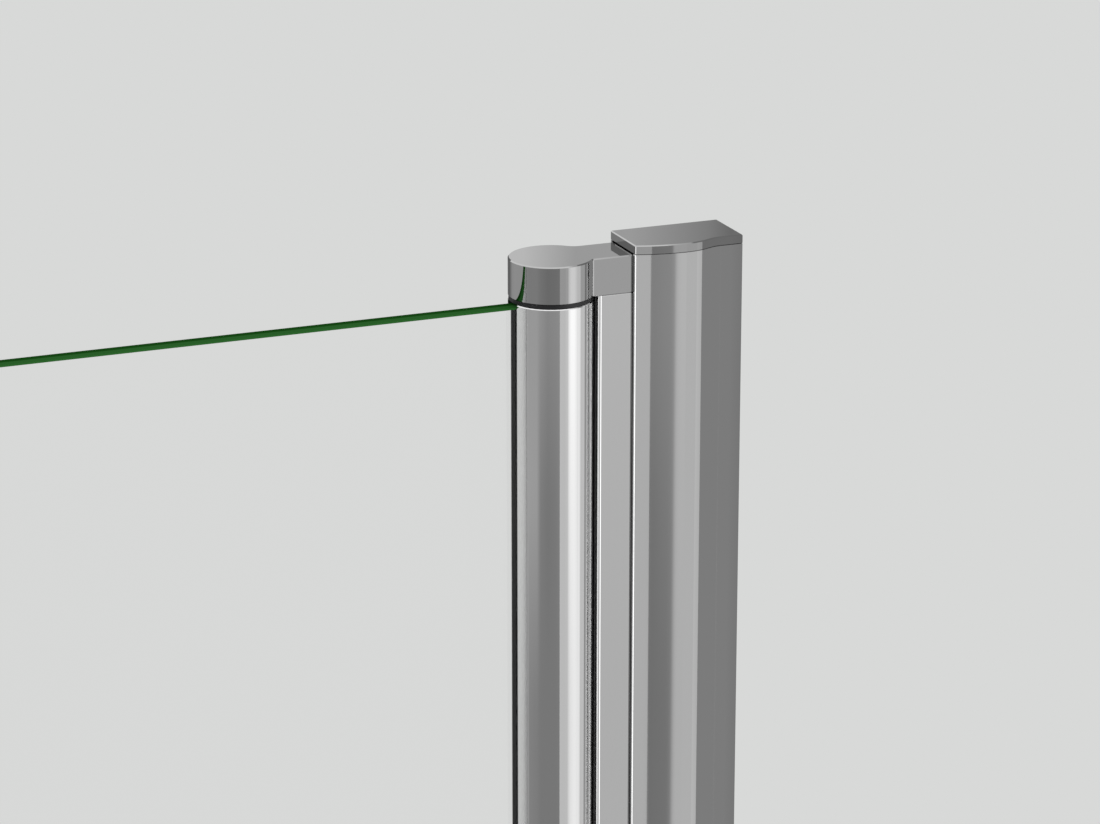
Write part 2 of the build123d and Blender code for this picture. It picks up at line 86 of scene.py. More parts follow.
# Which nodes share a finish
aluminium_nodes = (
    "hinge_wall_profile",
    "strike_wall_profile",
    "hinge_adjusting_profile",
    "strike_adjusting_profile",
    "sill_strip",
)
casting_nodes = (
    "hinge_profile_cap",
    "strike_profile_cap",
    "strike_nose_cap",
    "top_pivot_arm",
    "bottom_pivot_arm",
)
steel_nodes = (
    "top_pivot_pin",
    "bottom_pivot_pin",
    "pivot_arm_screws",
    "profile_clamp_screws",
    "handle_studs",
    "handle_grub_screws",
)
gasket_nodes = ("outer_glass_gasket", "inner_glass_gasket", "glass_seat_strip")
acetal_nodes = ("top_thrust_washer", "bottom_thrust_washer", "top_pivot_bush", "bottom_pivot_bush")
clear_nodes = ("door_magnet_seal", "strike_magnet_seal", "drip_seal", "handle_sleeves", "handle_washers")
magnet_nodes = ("door_magnet", "strike_magnet")

# What the metal sees around it, as a compass bearing from the door's outside and three grey tones.
# Bearing 0 is straight out from the door, and positive is towards the hinge side. The heights are
# elevations in degrees: the first tone holds above the first of them, the second is reached at the
# second, and the third holds below the last.
band_heights = (-16.4, -18.8, -21.6)
studio_bands = (
    (-180, 0.40, 0.40, 0.40),
    (-165, 0.43, 0.43, 0.43),
    (-148, 0.66, 0.66, 0.66),
    (-134, 0.69, 0.70, 0.70),
    (-97, 0.69, 0.70, 0.69),
    (-89, 0.62, 0.63, 0.62),
    (-84, 0.60, 0.62, 0.51),
    (-60, 0.60, 0.61, 0.49),
    (-50, 0.57, 0.49, 0.47),
    (-30, 0.53, 0.46, 0.47),
    (-8, 0.54, 0.48, 0.47),
    (11, 0.57, 0.53, 0.49),
    (13, 0.76, 0.75, 0.74),
    (24, 0.76, 0.75, 0.74),
    (28, 0.93, 0.89, 0.83),
    (34, 1.00, 0.94, 0.89),
    (44, 1.00, 0.95, 0.92),
    (52, 0.93, 0.92, 0.92),
    (62, 0.81, 0.83, 0.86),
    (73, 0.72, 0.73, 0.76),
    (85, 0.53, 0.55, 0.55),
    (99, 0.49, 0.48, 0.47),
    (117, 0.31, 0.31, 0.31),
    (150, 0.60, 0.60, 0.60),
    (180, 0.40, 0.40, 0.40),
)

# Tones of the tall flag on the hinge side, by the distance in mm from the door's plane inwards
flag_tones = (
    (-46, 0.93),
    (-37, 0.86),
    (-28, 0.78),
    (-20, 0.745),
    (-18.5, 0.53),
    (0, 0.48),
    (16, 0.56),
    (75, 0.70),
    (120, 0.70),
    (165, 0.83),
    (240, 0.86),
)

# How bright what the metal mirrors is from straight down to straight up, by elevation and share,
# and the soft box overhead: the elevations between which it sets in, and its tone
overhead_tones = ((-70, 0.03), (-62, 0.9), (-41, 1.0), (90, 1.0))
soft_box_low, soft_box_high = 18.5, 20.0
soft_box_tone = 0.9

# How strongly the die's lines show in the surface of the profiles and of the tube
profile_relief = 0.015
tube_relief = 0.002

# Lamps: name, place and size in metres, and power in watts
lamps = (
    ("key_lamp", (-2.2, -3.0, 3.6), 2.2, 95.0),
    ("fill_lamp", (2.6, 2.8, 2.8), 2.4, 40.0),
)


def linear(colour):
    """Turns an sRGB hex colour into the linear RGBA that Blender's sockets take."""
    channels = [int(colour[place:place + 2], 16) / 255 for place in (1, 3, 5)]
    straight = [c / 12.92 if c <= 0.04045 else ((c + 0.055) / 1.055) ** 2.4 for c in channels]
    return (*straight, 1.0)


def add_node(tree, kind, settings=None, values=None, links=None):
    """Adds a node, sets its properties and its sockets' values, and links its inputs."""
    node = tree.nodes.new(kind)
    for name, value in (settings or {}).items():
        setattr(node, name, value)
    for socket, value in (values or {}).items():
        node.inputs[socket].default_value = value
    for socket, source in (links or {}).items():
        tree.links.new(source, node.inputs[socket])
    return node


def new_material(name):
    """An empty node material and its tree."""
    material = bpy.data.materials.new(name)
    material.use_nodes = True
    material.node_tree.nodes.clear()
    return material, material.node_tree


def finish_material(tree, shader):
    """Links a shader to the material's output."""
    add_node(tree, "ShaderNodeOutputMaterial", links={"Surface": shader.outputs[0]})


def paint(material, nodes):
    """Gives CAD nodes that material in their own slots."""
    for name in nodes:
        for place in frame["nodes"][name].material_slots:
            place.material = material


# Materials, each named for what the real one is

def bright_anodised_aluminium(name, colour, relief):
    """Extruded, bright-dipped and anodised: a mirror with the faintest lines from the die."""
    material, tree = new_material(name)
    die_line = 0.6 * mm
    line_length = 120 * mm
    place = add_node(tree, "ShaderNodeTexCoord")
    stretched = add_node(
        tree,
        "ShaderNodeMapping",
        values={"Scale": (1 / die_line, 1 / die_line, 1 / line_length)},
        links={"Vector": place.outputs["Object"]},
    )
    lines = add_node(
        tree,
        "ShaderNodeTexNoise",
        values={"Scale": 1.0, "Detail": 3.0},
        links={"Vector": stretched.outputs[0]},
    )
    rough = add_node(
        tree,
        "ShaderNodeMapRange",
        values={"From Min": 0.3, "From Max": 0.7, "To Min": 0.035, "To Max": 0.075},
        links={"Value": lines.outputs["Fac"]},
    )
    bump = add_node(
        tree,
        "ShaderNodeBump",
        values={"Strength": relief, "Distance": 0.02 * mm},
        links={"Height": lines.outputs["Fac"]},
    )
    shader = add_node(
        tree,
        "ShaderNodeBsdfPrincipled",
        values={"Base Color": linear(colour), "Metallic": 1.0},
        links={"Roughness": rough.outputs[0], "Normal": bump.outputs[0]},
    )
    finish_material(tree, shader)
    return material


def chrome(name, colour, grain, sheen):
    """Bright chrome plate over a polished casting or bar, a mirror with the faintest waver."""
    material, tree = new_material(name)
    place = add_node(tree, "ShaderNodeTexCoord")
    peel = add_node(
        tree,
        "ShaderNodeTexNoise",
        values={"Scale": 1 / grain, "Detail": 2.0},
        links={"Vector": place.outputs["Object"]},
    )
    rough = add_node(
        tree,
        "ShaderNodeMapRange",
        values={"From Min": 0.3, "From Max": 0.7, "To Min": sheen, "To Max": 2 * sheen},
        links={"Value": peel.outputs["Fac"]},
    )
    bump = add_node(
        tree,
        "ShaderNodeBump",
        values={"Strength": 0.012, "Distance": 0.02 * mm},
        links={"Height": peel.outputs["Fac"]},
    )
    shader = add_node(
        tree,
        "ShaderNodeBsdfPrincipled",
        values={"Base Color": linear(colour), "Metallic": 1.0},
        links={"Roughness": rough.outputs[0], "Normal": bump.outputs[0]},
    )
    finish_material(tree, shader)
    return material


def turned_stainless_steel(colour):
    """Stainless bar, turned on a lathe: a fine grain that softens what it mirrors."""
    material, tree = new_material("turned stainless steel")
    grain = 0.3 * mm
    place = add_node(tree, "ShaderNodeTexCoord")
    speck = add_node(
        tree,
        "ShaderNodeTexNoise",
        values={"Scale": 1 / grain, "Detail": 4.0},
        links={"Vector": place.outputs["Object"]},
    )
    rough = add_node(
        tree,
        "ShaderNodeMapRange",
        values={"To Min": 0.18, "To Max": 0.38},
        links={"Value": speck.outputs["Fac"]},
    )
    shader = add_node(
        tree,
        "ShaderNodeBsdfPrincipled",
        values={"Base Color": linear(colour), "Metallic": 1.0},
        links={"Roughness": rough.outputs[0]},
    )
    finish_material(tree, shader)
    return material


def toughened_float_glass(face_colour, inner_edge_colour, outer_edge_colour):
    """Clear float glass: its faces are clean, and its ground edges show its iron as deep green, a lighter
    green on their outer half as painted light and a darker one on their inner half as painted shade.
    """
    material, tree = new_material("toughened float glass")
    clear = add_node(
        tree,
        "ShaderNodeBsdfPrincipled",
        values={
            "Base Color": linear(face_colour),
            "Roughness": 0.0,
            "IOR": 1.52,
            "Transmission Weight": 1.0,
        },
    )
    place = add_node(tree, "ShaderNodeTexCoord")
    normal = add_node(tree, "ShaderNodeSeparateXYZ", links={0: place.outputs["Normal"]})
    spot = add_node(tree, "ShaderNodeSeparateXYZ", links={0: place.outputs["Object"]})
    facing = add_node(
        tree,
        "ShaderNodeMath",
        settings={"operation": "ABSOLUTE"},
        links={0: normal.outputs["Y"]},
    )
    grind = add_node(
        tree,
        "ShaderNodeTexNoise",
        values={"Scale": 1 / (1.5 * mm), "Detail": 2.0},
        links={"Vector": place.outputs["Object"]},
    )
    # Painted light and shade on the one ground edge: its outer half gets the lighter green and its inner
    # half the darker one
    outer_half = add_node(
        tree,
        "ShaderNodeMapRange",
        values={"From Min": 0.5 * mm, "From Max": -0.2 * mm},
        links={"Value": spot.outputs["Y"]},
    )
    green = add_node(
        tree,
        "ShaderNodeMix",
        settings={"data_type": "RGBA"},
        values={6: linear(inner_edge_colour), 7: linear(outer_edge_colour)},
        links={0: outer_half.outputs[0]},
    )
    rough = add_node(
        tree,
        "ShaderNodeMapRange",
        values={"To Min": 0.12, "To Max": 0.3},
        links={"Value": grind.outputs["Fac"]},
    )
    ground = add_node(
        tree,
        "ShaderNodeBsdfPrincipled",
        values={"IOR": 1.52, "Specular IOR Level": 0.0},
        links={"Base Color": green.outputs[2], "Roughness": rough.outputs[0]},
    )
    is_face = add_node(
        tree,
        "ShaderNodeMath",
        settings={"operation": "GREATER_THAN"},
        values={1: 0.9},
        links={0: facing.outputs[0]},
    )
    glass = add_node(
        tree,
        "ShaderNodeMixShader",
        links={0: is_face.outputs[0], 1: ground.outputs[0], 2: clear.outputs[0]},
    )
    path = add_node(tree, "ShaderNodeLightPath")
    through = add_node(tree, "ShaderNodeBsdfTransparent", values={"Color": linear("#E8F0EA")})
    shown = add_node(
        tree,
        "ShaderNodeMixShader",
        links={0: path.outputs["Is Shadow Ray"], 1: glass.outputs[0], 2: through.outputs[0]},
    )
    finish_material(tree, shown)
    return material


def black_seal(name, colour):
    """Extruded black PVC: satin, with a slight waver in its surface."""
    material, tree = new_material(name)
    place = add_node(tree, "ShaderNodeTexCoord")
    waver = add_node(
        tree,
        "ShaderNodeTexNoise",
        values={"Scale": 1 / (2 * mm), "Detail": 3.0},
        links={"Vector": place.outputs["Object"]},
    )
    rough = add_node(
        tree,
        "ShaderNodeMapRange",
        values={"To Min": 0.35, "To Max": 0.55},
        links={"Value": waver.outputs["Fac"]},
    )
    bump = add_node(
        tree,
        "ShaderNodeBump",
        values={"Strength": 0.15, "Distance": 0.05 * mm},
        links={"Height": waver.outputs["Fac"]},
    )
    shader = add_node(
        tree,
        "ShaderNodeBsdfPrincipled",
        values={"Base Color": linear(colour), "IOR": 1.5},
        links={"Roughness": rough.outputs[0], "Normal": bump.outputs[0]},
    )
    finish_material(tree, shader)
    return material


def black_acetal(colour):
    """Injection-moulded acetal: smooth, slightly waxy, with a fine moulded grain."""
    material, tree = new_material("moulded black acetal")
    place = add_node(tree, "ShaderNodeTexCoord")
    grain = add_node(
        tree,
        "ShaderNodeTexNoise",
        values={"Scale": 1 / (0.5 * mm), "Detail": 2.0},
        links={"Vector": place.outputs["Object"]},
    )
    bump = add_node(
        tree,
        "ShaderNodeBump",
        values={"Strength": 0.1, "Distance": 0.03 * mm},
        links={"Height": grain.outputs["Fac"]},
    )
    shader = add_node(
        tree,
        "ShaderNodeBsdfPrincipled",
        values={"Base Color": linear(colour), "Roughness": 0.42, "IOR": 1.48},
        links={"Normal": bump.outputs[0]},
    )
    finish_material(tree, shader)
    return material


def clear_pvc(colour):
    """Extruded clear PVC: see-through and a little cloudy."""
    material, tree = new_material("extruded clear seal")
    place = add_node(tree, "ShaderNodeTexCoord")
    cloud = add_node(
        tree,
        "ShaderNodeTexNoise",
        values={"Scale": 1 / (3 * mm), "Detail": 3.0},
        links={"Vector": place.outputs["Object"]},
    )
    rough = add_node(
        tree,
        "ShaderNodeMapRange",
        values={"To Min": 0.12, "To Max": 0.3},
        links={"Value": cloud.outputs["Fac"]},
    )
    plastic = add_node(
        tree,
        "ShaderNodeBsdfPrincipled",
        values={"Base Color": linear(colour), "IOR": 1.53, "Transmission Weight": 0.85},
        links={"Roughness": rough.outputs[0]},
    )
    path = add_node(tree, "ShaderNodeLightPath")
    through = add_node(tree, "ShaderNodeBsdfTransparent", values={"Color": linear("#D9DEDD")})
    shown = add_node(
        tree,
        "ShaderNodeMixShader",
        links={0: path.outputs["Is Shadow Ray"], 1: plastic.outputs[0], 2: through.outputs[0]},
    )
    finish_material(tree, shown)
    return material


def ferrite_strip(colour):
    """Rubber filled with ferrite powder: near black, dull, and speckled."""
    material, tree = new_material("ferrite magnet strip")
    place = add_node(tree, "ShaderNodeTexCoord")
    speck = add_node(
        tree,
        "ShaderNodeTexNoise",
        values={"Scale": 1 / (0.8 * mm), "Detail": 4.0},
        links={"Vector": place.outputs["Object"]},
    )
    rough = add_node(
        tree,
        "ShaderNodeMapRange",
        values={"To Min": 0.55, "To Max": 0.8},
        links={"Value": speck.outputs["Fac"]},
    )
    shader = add_node(
        tree,
        "ShaderNodeBsdfPrincipled",
        values={"Base Color": linear(colour)},
        links={"Roughness": rough.outputs[0]},
    )
    finish_material(tree, shader)
    return material


# Meshes of the pieces that stand for a plainer solid

def skin_rings(name, rings, material):
    """A closed skin through rings of points, capped at both ends, smooth but for its sharp edges."""
    sharp_angle = math.radians(35)
    skin = bmesh.new()
    loops = [[skin.verts.new(point) for point in ring] for ring in rings]
    for first, second in zip(loops, loops[1:]):
        for place in range(len(first)):
            after = (place + 1) % len(first)
            skin.faces.new((first[place], first[after], second[after], second[place]))
    skin.faces.new(loops[0])
    skin.faces.new(loops[-1])
    bmesh.ops.recalc_face_normals(skin, faces=skin.faces)
    mesh = bpy.data.meshes.new(name)
    skin.to_mesh(mesh)
    skin.free()
    mesh.shade_smooth()
    mesh.set_sharp_from_angle(angle=sharp_angle)
    mesh.materials.append(material)
    piece = bpy.data.objects.new(name, mesh)
    bpy.context.scene.collection.objects.link(piece)
    return piece


def turned_rings(profile, sides, centre=Vector((0, 0, 0)), axis="Y"):
    """Rings round an upright (Z) or level (Y) axis, from a list of radius and distance along it."""
    rings = []
    for radius, along in profile:
        ring = []
        for side in range(sides):
            angle = math.tau * side / sides
            across, over = radius * math.cos(angle), radius * math.sin(angle)
            spot = (across, along, over) if axis == "Y" else (across, over, along)
            ring.append(centre + Vector(spot))
        rings.append(ring)
    return rings


def bake(piece):
    """Turns a piece's modifiers into plain mesh and takes them off."""
    graph = bpy.context.evaluated_depsgraph_get()
    plain = bpy.data.meshes.new_from_object(piece.evaluated_get(graph))
    piece.modifiers.clear()
    piece.data = plain


def grid_tree():
    """A node tree that sets copies of a piece at the crossings of an upright grid."""
    tree = bpy.data.node_groups.new("pieces on an upright grid", "GeometryNodeTree")
    sockets = (
        ("Geometry", "NodeSocketGeometry"),
        ("Across", "NodeSocketFloat"),
        ("Rise", "NodeSocketFloat"),
        ("Columns", "NodeSocketInt"),
        ("Rows", "NodeSocketInt"),
        ("Middle", "NodeSocketVector"),
        ("Material", "NodeSocketMaterial"),
    )
    for name, kind in sockets:
        tree.interface.new_socket(name, in_out="INPUT", socket_type=kind)
    tree.interface.new_socket("Geometry", in_out="OUTPUT", socket_type="NodeSocketGeometry")
    given = add_node(tree, "NodeGroupInput")
    grid = add_node(
        tree,
        "GeometryNodeMeshGrid",
        links={
            "Size X": given.outputs["Across"],
            "Size Y": given.outputs["Rise"],
            "Vertices X": given.outputs["Columns"],
            "Vertices Y": given.outputs["Rows"],
        },
    )
    upright = add_node(
        tree,
        "GeometryNodeTransform",
        values={"Rotation": (math.pi / 2, 0, 0)},
        links={"Geometry": grid.outputs["Mesh"], "Translation": given.outputs["Middle"]},
    )
    placed = add_node(
        tree,
        "GeometryNodeInstanceOnPoints",
        links={"Points": upright.outputs[0], "Instance": given.outputs["Geometry"]},
    )
    real = add_node(tree, "GeometryNodeRealizeInstances", links={"Geometry": placed.outputs[0]})
    finished = add_node(
        tree,
        "GeometryNodeSetMaterial",
        links={"Geometry": real.outputs[0], "Material": given.outputs["Material"]},
    )
    add_node(tree, "NodeGroupOutput", links={0: finished.outputs[0]})
    return tree


def handle_stations(sizes, standoff, foot_radius):
    """Half a handle from its bolt hole to the end of its bend: way out, way up, turn, radius."""
    bore = sizes.stud_hole / 2
    bevel = 0.3 * mm
    cove = foot_radius - sizes.bar_radius
    cove_end = sizes.foot_height + cove
    straight = [
        (sizes.stud_depth, bore),
        (0.0, bore),
        (0.0, foot_radius - bevel),
        (bevel, foot_radius),
        (sizes.foot_height - bevel, foot_radius),
        (sizes.foot_height, foot_radius - bevel),
    ]
    cove_steps = 12
    for step in range(2, cove_steps + 1):
        angle = math.pi / 2 * step / cove_steps
        straight.append((cove_end - cove * math.cos(angle), foot_radius - cove * math.sin(angle)))
    stations = [(out, 0.0, 0.0, radius) for out, radius in straight]
    bend_steps = 20
    for step in range(bend_steps + 1):
        turn = math.pi / 2 * step / bend_steps
        out = standoff - sizes.bend + sizes.bend * math.sin(turn)
        stations.append((out, sizes.bend * (1 - math.cos(turn)), turn, sizes.bar_radius))
    return stations


def handle_rings(node, sizes):
    """Rings along the whole bent bar of one handle, from its lower foot to its upper one."""
    low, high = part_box(node)
    face = -1 if high[1] < 0 else 1
    foot = max(low[1], high[1]) if face < 0 else min(low[1], high[1])
    reach = low[1] if face < 0 else high[1]
    foot_radius = (high[0] - low[0]) / 2
    middle_x = (high[0] + low[0]) / 2
    middle_z = (high[2] + low[2]) / 2
    half_centres = (high[2] - low[2]) / 2 - foot_radius
    standoff = abs(reach - foot) - sizes.bar_radius
    half = handle_stations(sizes, standoff, foot_radius)
    sides = 48
    rings = []
    for up in (-1, 1):
        for out, along, turn, radius in half[::-up]:
            depth = foot + face * out
            height = middle_z + up * (half_centres - along)
            ring = []
            for side in range(sides):
                angle = math.tau * side / sides
                lean_depth = face * math.sin(turn)
                lean_height = up * math.cos(turn)
                over = radius * math.sin(angle)
                spot = (
                    middle_x + radius * math.cos(angle),
                    depth + over * lean_depth,
                    height + over * lean_height,
                )
                ring.append(Vector(spot))
            rings.append(ring)
    return rings


# Settings that a user would change

class DoorSizes(bpy.types.PropertyGroup):
    """Sizes of the pieces that are made here"""

    bar_radius: bpy.props.FloatProperty(
        name="Bar radius", description="Of the handle's bar", default=6.5 * mm, unit="LENGTH"
    )
    bend: bpy.props.FloatProperty(
        name="Bend", description="Radius of the handle's bends", default=18 * mm, unit="LENGTH"
    )
    foot_height: bpy.props.FloatProperty(
        name="Foot", description="Height of the handle's foot", default=5 * mm, unit="LENGTH"
    )
    stud_hole: bpy.props.FloatProperty(
        name="Stud hole", description="Width of the hole in the foot", default=6.1 * mm, unit="LENGTH"
    )
    stud_depth: bpy.props.FloatProperty(
        name="Stud depth", description="Depth of the hole in the foot", default=9 * mm, unit="LENGTH"
    )
    cover_radius: bpy.props.FloatProperty(
        name="Cover radius", description="Of a screw's cover", default=5 * mm, unit="LENGTH"
    )
    cover_wall: bpy.props.FloatProperty(
        name="Cover wall", description="Thickness of a screw's cover", default=0.9 * mm, unit="LENGTH"
    )


class DoorFinishes(bpy.types.PropertyGroup):
    """Colours of the door's finishes, as sRGB hex values"""

    # The aluminium and the tube are one bright anodised finish: the aluminium's colour is darker than the
    # tube's as painted shade
    aluminium: bpy.props.StringProperty(
        name="Aluminium", description="Colour of the bright profiles, darker than the tube as painted shade", default="#D7D7D7"
    )
    tube: bpy.props.StringProperty(
        name="Tube", description="Colour of the tube, lighter than the profiles as painted light", default="#E8E8E8"
    )
    casting: bpy.props.StringProperty(
        name="Chrome",
        description="Colour of the chromed caps, arms, handles and screw covers",
        default="#B9B9B9",
    )
    steel: bpy.props.StringProperty(
        name="Steel", description="Colour of the pins, studs and screws", default="#C4C3C0"
    )
    glass_face: bpy.props.StringProperty(
        name="Glass face", description="Tint of the glass seen through", default="#FFFFFF"
    )
    # The two edge greens are one ground edge, its outer half lighter as painted light and its inner half
    # darker as painted shade
    glass_inner_edge: bpy.props.StringProperty(
        name="Glass inner edge", description="Green of the ground edge's inner half, darker as painted shade", default="#164614"
    )
    glass_outer_edge: bpy.props.StringProperty(
        name="Glass outer edge", description="Green of the ground edge's outer half, lighter as painted light", default="#2C602B"
    )
    seal: bpy.props.StringProperty(
        name="Gaskets", description="Colour of the black packing round the glass", default="#161617"
    )
    # The gap seal is black like the gaskets; its lighter colour is painted light that lifts the shade in its
    # narrow gap
    gap_seal: bpy.props.StringProperty(
        name="Gap seal", description="Colour of the seal beside the tube, lighter than the gaskets as painted light in its gap", default="#4A4A4B"
    )
    acetal: bpy.props.StringProperty(
        name="Bushes", description="Colour of the bushes and washers", default="#18181A"
    )
    clear: bpy.props.StringProperty(
        name="Clear seals", description="Tint of the clear seals", default="#EEF2F1"
    )
    ferrite: bpy.props.StringProperty(
        name="Magnets", description="Colour of the magnet strips", default="#2B2826"
    )


class DoorStudio(bpy.types.PropertyGroup):
    """The camera and the light"""

    bearing: bpy.props.FloatProperty(
        name="Bearing",
        description="The camera's bearing from straight out",
        default=math.radians(-22.0),
        subtype="ANGLE",
    )
    elevation: bpy.props.FloatProperty(
        name="Elevation",
        description="The camera's height above the horizon",
        default=math.radians(17.59),
        subtype="ANGLE",
    )
    distance: bpy.props.FloatProperty(
        name="Distance", description="From the camera to its aim", default=1.2, unit="LENGTH"
    )
    lens: bpy.props.FloatProperty(
        name="Lens", description="Focal length for a 36 mm wide sensor, in mm", default=134.57
    )
    aim: bpy.props.FloatVectorProperty(
        name="Aim",
        description="The point at the picture's centre",
        default=(0.39323, 0.0, 1.86977),
        subtype="TRANSLATION",
    )
    backdrop: bpy.props.StringProperty(
        name="Backdrop", description="Colour of the floor and backdrop", default="#D8D9D8"
    )
    bands: bpy.props.FloatProperty(
        name="Bands", description="Strength of what the metal mirrors", default=1.2
    )
    ambient: bpy.props.FloatProperty(
        name="Ambient", description="Strength of the light from all round", default=0.62
    )


# Operators, one for each group of like pieces

class DressProfiles(bpy.types.Operator):
    """Gives the extruded profiles and the tube their bright anodised finish, the profiles' colour darker
    than the tube's as painted shade
    """

    bl_idname = "shower_door.dress_profiles"
    bl_label = "Dress the profiles"

    def execute(self, context):
        finishes = context.scene.door_finishes
        # The profiles and the tube are one bright anodised aluminium: the profiles' colour is darker than
        # the tube's as painted shade, so the bands that they mirror read darker
        profiles = bright_anodised_aluminium("bright anodised aluminium", finishes.aluminium, profile_relief)
        tube = bright_anodised_aluminium("anodised tube, lighter than the profiles as painted light", finishes.tube, tube_relief)
        paint(profiles, aluminium_nodes)
        paint(tube, ("hinge_tube",))
        return {"FINISHED"}


class DressCastings(bpy.types.Operator):
    """Gives the caps and the pivot arms their chrome"""

    bl_idname = "shower_door.dress_castings"
    bl_label = "Dress the castings"

    def execute(self, context):
        finishes = context.scene.door_finishes
        paint(chrome("chromed zinc casting", finishes.casting, 2.5 * mm, 0.03), casting_nodes)
        return {"FINISHED"}


class BuildHandles(bpy.types.Operator):
    """Makes the two bent pull handles, with coved feet and the inner one's screw holes"""

    bl_idname = "shower_door.build_handles"
    bl_label = "Build the handles"

    def execute(self, context):
        sizes = context.scene.door_sizes
        plate = chrome("chromed brass bar", context.scene.door_finishes.casting, 6 * mm, 0.02)
        for side in ("outer", "inner"):
            node = f"{side}_pull_handle"
            handle = skin_rings(f"{side}_handle_bar", handle_rings(node, sizes), plate)
            if side == "inner":
                self.cut_screw_holes(handle, plate)
            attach(handle, "door")
            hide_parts(node)
        return {"FINISHED"}

    def cut_screw_holes(self, handle, plate):
        """Drills the hole of the grub screw up into each foot, as far as the stud."""
        low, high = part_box("handle_grub_screws")
        foot_low, foot_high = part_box("inner_pull_handle")
        foot_radius = (foot_high[0] - foot_low[0]) / 2
        clearance = 0.05 * mm
        overshoot = 1 * mm
        hole = (high[0] - low[0]) / 2 + clearance
        for height in (foot_low[2] + foot_radius, foot_high[2] - foot_radius):
            centre = Vector(((low[0] + high[0]) / 2, (low[1] + high[1]) / 2, height))
            profile = ((hole, -foot_radius - overshoot), (hole, 0.0))
            drill = skin_rings("drill", turned_rings(profile, 24, centre, "Z"), plate)
            cut = handle.modifiers.new("screw hole", "BOOLEAN")
            cut.operation = "DIFFERENCE"
            cut.solver = "EXACT"
            cut.object = drill
            bake(handle)
            bpy.data.objects.remove(drill)


class BuildScrewCovers(bpy.types.Operator):
    """Makes the domed covers over the clamp screws, one grid of them on the shower side"""

    bl_idname = "shower_door.build_screw_covers"
    bl_label = "Build the screw covers"

    def execute(self, context):
        sizes = context.scene.door_sizes
        plate = chrome("chromed screw cover", context.scene.door_finishes.casting, 2 * mm, 0.03)
        low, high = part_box("screw_cover_caps")
        radius = sizes.cover_radius
        height = high[1] - low[1]
        wall = sizes.cover_wall
        skirt = height / 3
        tip = 0.2 * mm
        profile = [
            (tip, height - wall),
            (radius / 2, height - wall),
            (radius - wall, skirt),
            (radius - wall, 0.0),
            (radius, 0.0),
        ]
        dome_steps = 12
        for step in range(dome_steps):
            angle = math.pi / 2 * step / dome_steps
            profile.append((radius * math.cos(angle), skirt + (height - skirt) * math.sin(angle)))
        profile.append((tip, height))
        covers = skin_rings("domed_screw_covers", turned_rings(profile, 40), plate)
        tree = grid_tree()
        settings = {
            "Across": high[0] - low[0] - 2 * radius,
            "Rise": high[2] - low[2] - 2 * radius,
            "Columns": 2,
            "Rows": 3,
            "Middle": ((low[0] + high[0]) / 2, low[1], (low[2] + high[2]) / 2),
            "Material": plate,
        }
        setter = covers.modifiers.new("covers on a grid", "NODES")
        setter.node_group = tree
        for item in tree.interface.items_tree:
            if item.in_out == "INPUT" and item.name in settings:
                setter[item.identifier] = settings[item.name]
        bake(covers)
        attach(covers, "wall_frame")
        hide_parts("screw_cover_caps")
        return {"FINISHED"}


class DressSteel(bpy.types.Operator):
    """Gives the pins and screws their turned steel"""

    bl_idname = "shower_door.dress_steel"
    bl_label = "Dress the steel"

    def execute(self, context):
        paint(turned_stainless_steel(context.scene.door_finishes.steel), steel_nodes)
        return {"FINISHED"}


class DressGlass(bpy.types.Operator):
    """Makes the pane clear, with green ground edges"""

    bl_idname = "shower_door.dress_glass"
    bl_label = "Dress the glass"

    def execute(self, context):
        finishes = context.scene.door_finishes
        glass = toughened_float_glass(
            finishes.glass_face, finishes.glass_inner_edge, finishes.glass_outer_edge
        )
        paint(glass, ("glass_pane",))
        return {"FINISHED"}


class DressSeals(bpy.types.Operator):
    """Gives the seals, gaskets, bushes and magnets their plastics and rubbers"""

    bl_idname = "shower_door.dress_seals"
    bl_label = "Dress the seals"

    def execute(self, context):
        finishes = context.scene.door_finishes
        paint(black_seal("extruded black gasket", finishes.seal), gasket_nodes)
        # The gap seal's colour is lighter than the black gaskets' as painted light, to lift the shade in the
        # narrow gap beside the tube
        paint(black_seal("extruded black gap seal, lightened as painted light", finishes.gap_seal), ("hinge_gap_seal",))
        paint(black_acetal(finishes.acetal), acetal_nodes)
        paint(clear_pvc(finishes.clear), clear_nodes)
        paint(ferrite_strip(finishes.ferrite), magnet_nodes)
        return {"FINISHED"}


def tone_ramp(tree, source, low, high, stops):
    """A ramp that turns a value between low and high into a grey, by a list of value and tone."""
    share = add_node(
        tree,
        "ShaderNodeMapRange",
        values={"From Min": low, "From Max": high},
        links={"Value": source},
    )
    ramp = add_node(tree, "ShaderNodeValToRGB", links={"Fac": share.outputs[0]})
    marks = ramp.color_ramp.elements
    marks.remove(marks[-1])
    for number, (value, tone) in enumerate(stops):
        mark = marks[0] if number == 0 else marks.new((value - low) / (high - low))
        mark.position = (value - low) / (high - low)
        mark.color = linear("#" + 3 * f"{round(255 * tone):02X}")
    return ramp.outputs["Color"]


def blend_colours(tree, share, first, second):
    """Mixes two colour outputs by a share."""
    mix = add_node(
        tree,
        "ShaderNodeMix",
        settings={"data_type": "RGBA"},
        links={0: share, 6: first, 7: second},
    )
    return mix.outputs[2]


